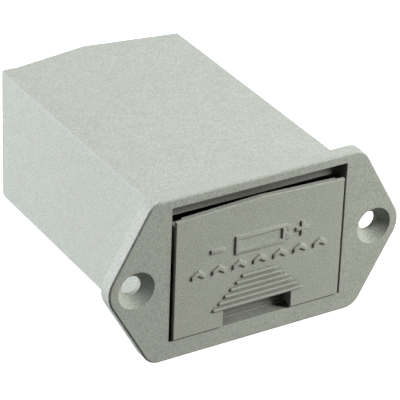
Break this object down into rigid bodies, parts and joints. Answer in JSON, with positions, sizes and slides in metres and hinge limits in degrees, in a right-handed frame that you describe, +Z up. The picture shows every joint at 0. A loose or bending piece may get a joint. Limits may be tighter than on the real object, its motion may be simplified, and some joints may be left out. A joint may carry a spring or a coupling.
{
  "type": "battery holder",
  "caption": "Panel-mounted drawer holder for one flat 9 V block battery: flanged case with a lift-to-release drawer, finger notch and rear solder tags.",
  "frame": {"origin": "midway between the two screw holes, on the flange face that meets the panel", "axes": "+X along the line of the screw holes, +Y into the panel towards the solder tags, +Z up, towards the gap above the drawer front"},
  "size_m": [0.0542, 0.0636, 0.0294],
  "materials": {
    "housing_plastic": "fine spark-eroded grain",
    "drawer_plastic": "fine spark-eroded grain",
    "contact_metal": "nickel plated spring strip"
  },
  "bodies": {
    "housing": {"housing": "housing_plastic", "contact_positive": "contact_metal", "contact_negative": "contact_metal"},
    "drawer": {"drawer": "drawer_plastic"}
  },
  "joints": [
    {"name": "drawer_withdraw", "type": "slide", "parent": "housing", "child": "drawer", "axis": [0, -1, 0], "range_m": [0, 0.055]}
  ]
}
